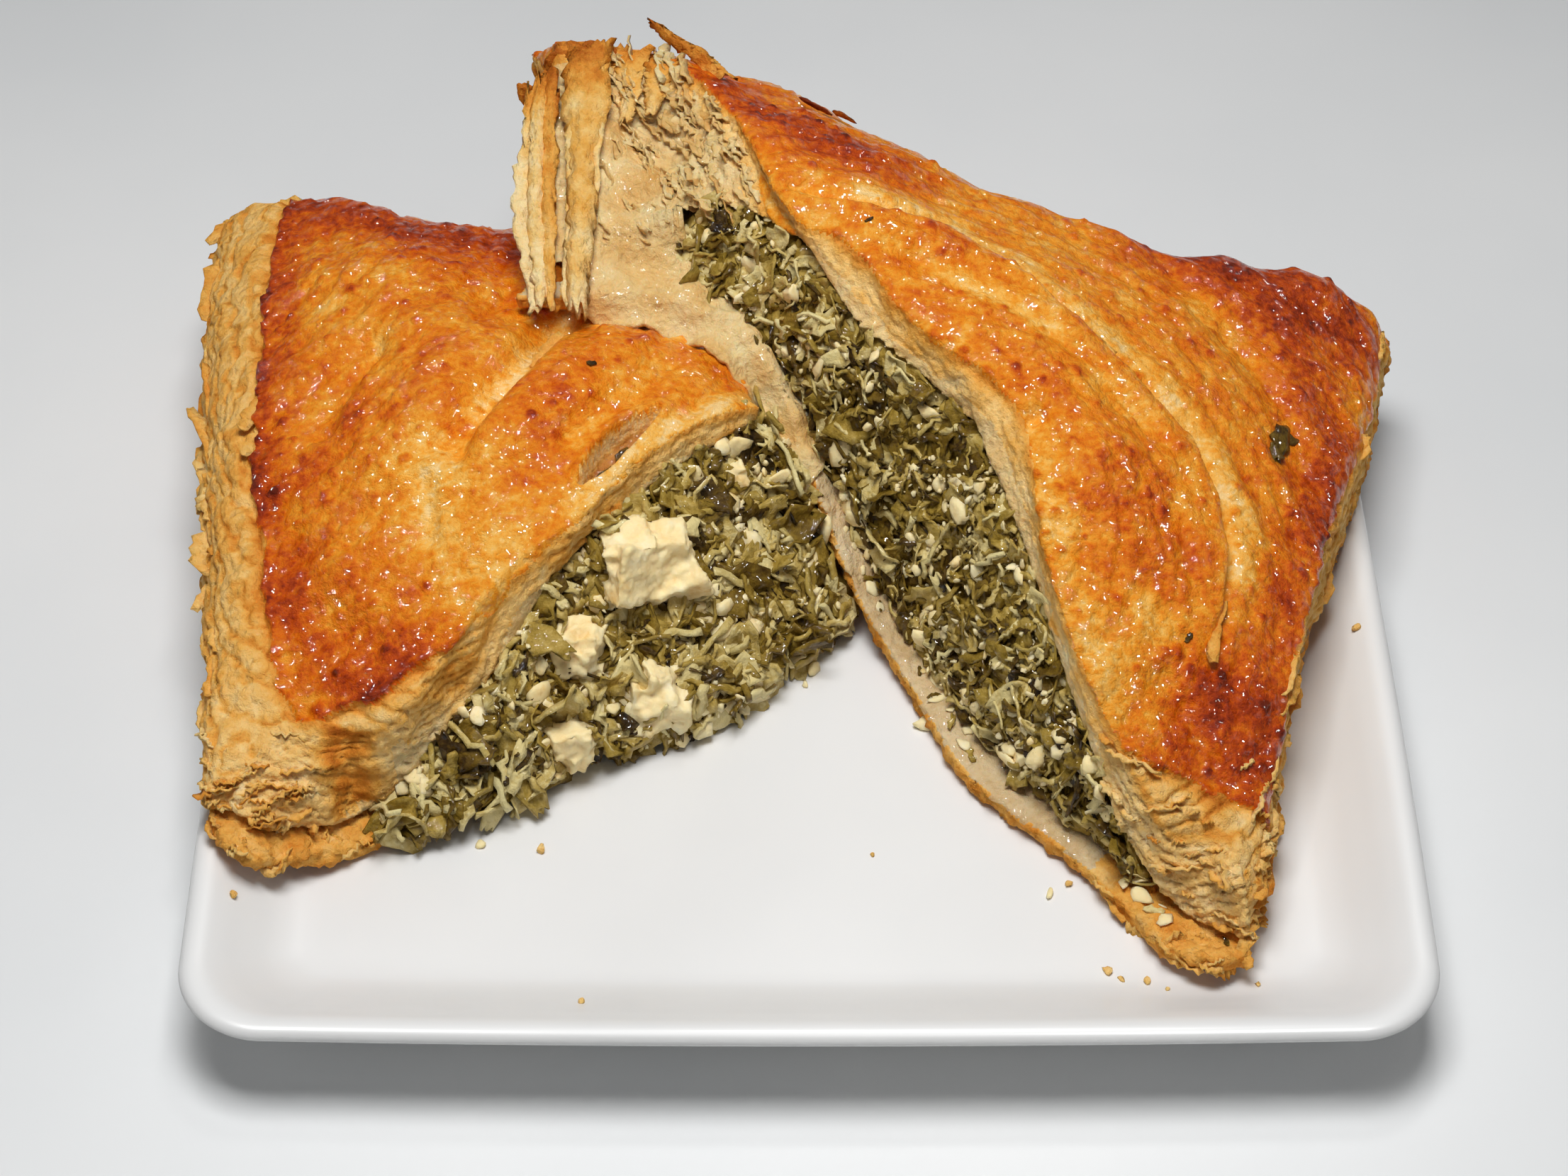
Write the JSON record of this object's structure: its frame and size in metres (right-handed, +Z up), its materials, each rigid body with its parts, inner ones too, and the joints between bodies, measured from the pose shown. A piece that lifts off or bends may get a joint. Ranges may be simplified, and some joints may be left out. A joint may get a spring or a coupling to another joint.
{
  "type": "spanakopita pie",
  "caption": "Spinach and feta pie in glazed puff pastry, cut in half, one half leaning on the other, served on a white porcelain plate.",
  "frame": {"origin": "centre of the bounding box seen from above, at the height of the plate's foot", "axes": "+X along the plate's front edge to the right, +Y away from the front edge, +Z up"},
  "size_m": [0.2146, 0.1896, 0.0708],
  "materials": {
    "porcelain": "glossy white glaze",
    "pale pastry": "dry and flaky",
    "brown crust": "glossy with baked egg glaze",
    "spinach": "moist",
    "feta": "crumbly and damp"
  },
  "bodies": {
    "root": {"plate": "porcelain", "right_upper_pastry": "brown crust", "right_lower_pastry": "pale pastry", "right_filling": "spinach", "left_upper_pastry": "brown crust", "left_lower_pastry": "pale pastry", "left_filling": "spinach", "feta_1": "feta", "feta_2": "feta", "feta_3": "feta", "feta_4": "feta", "feta_5": "feta", "feta_6": "feta"}
  },
  "joints": []
}
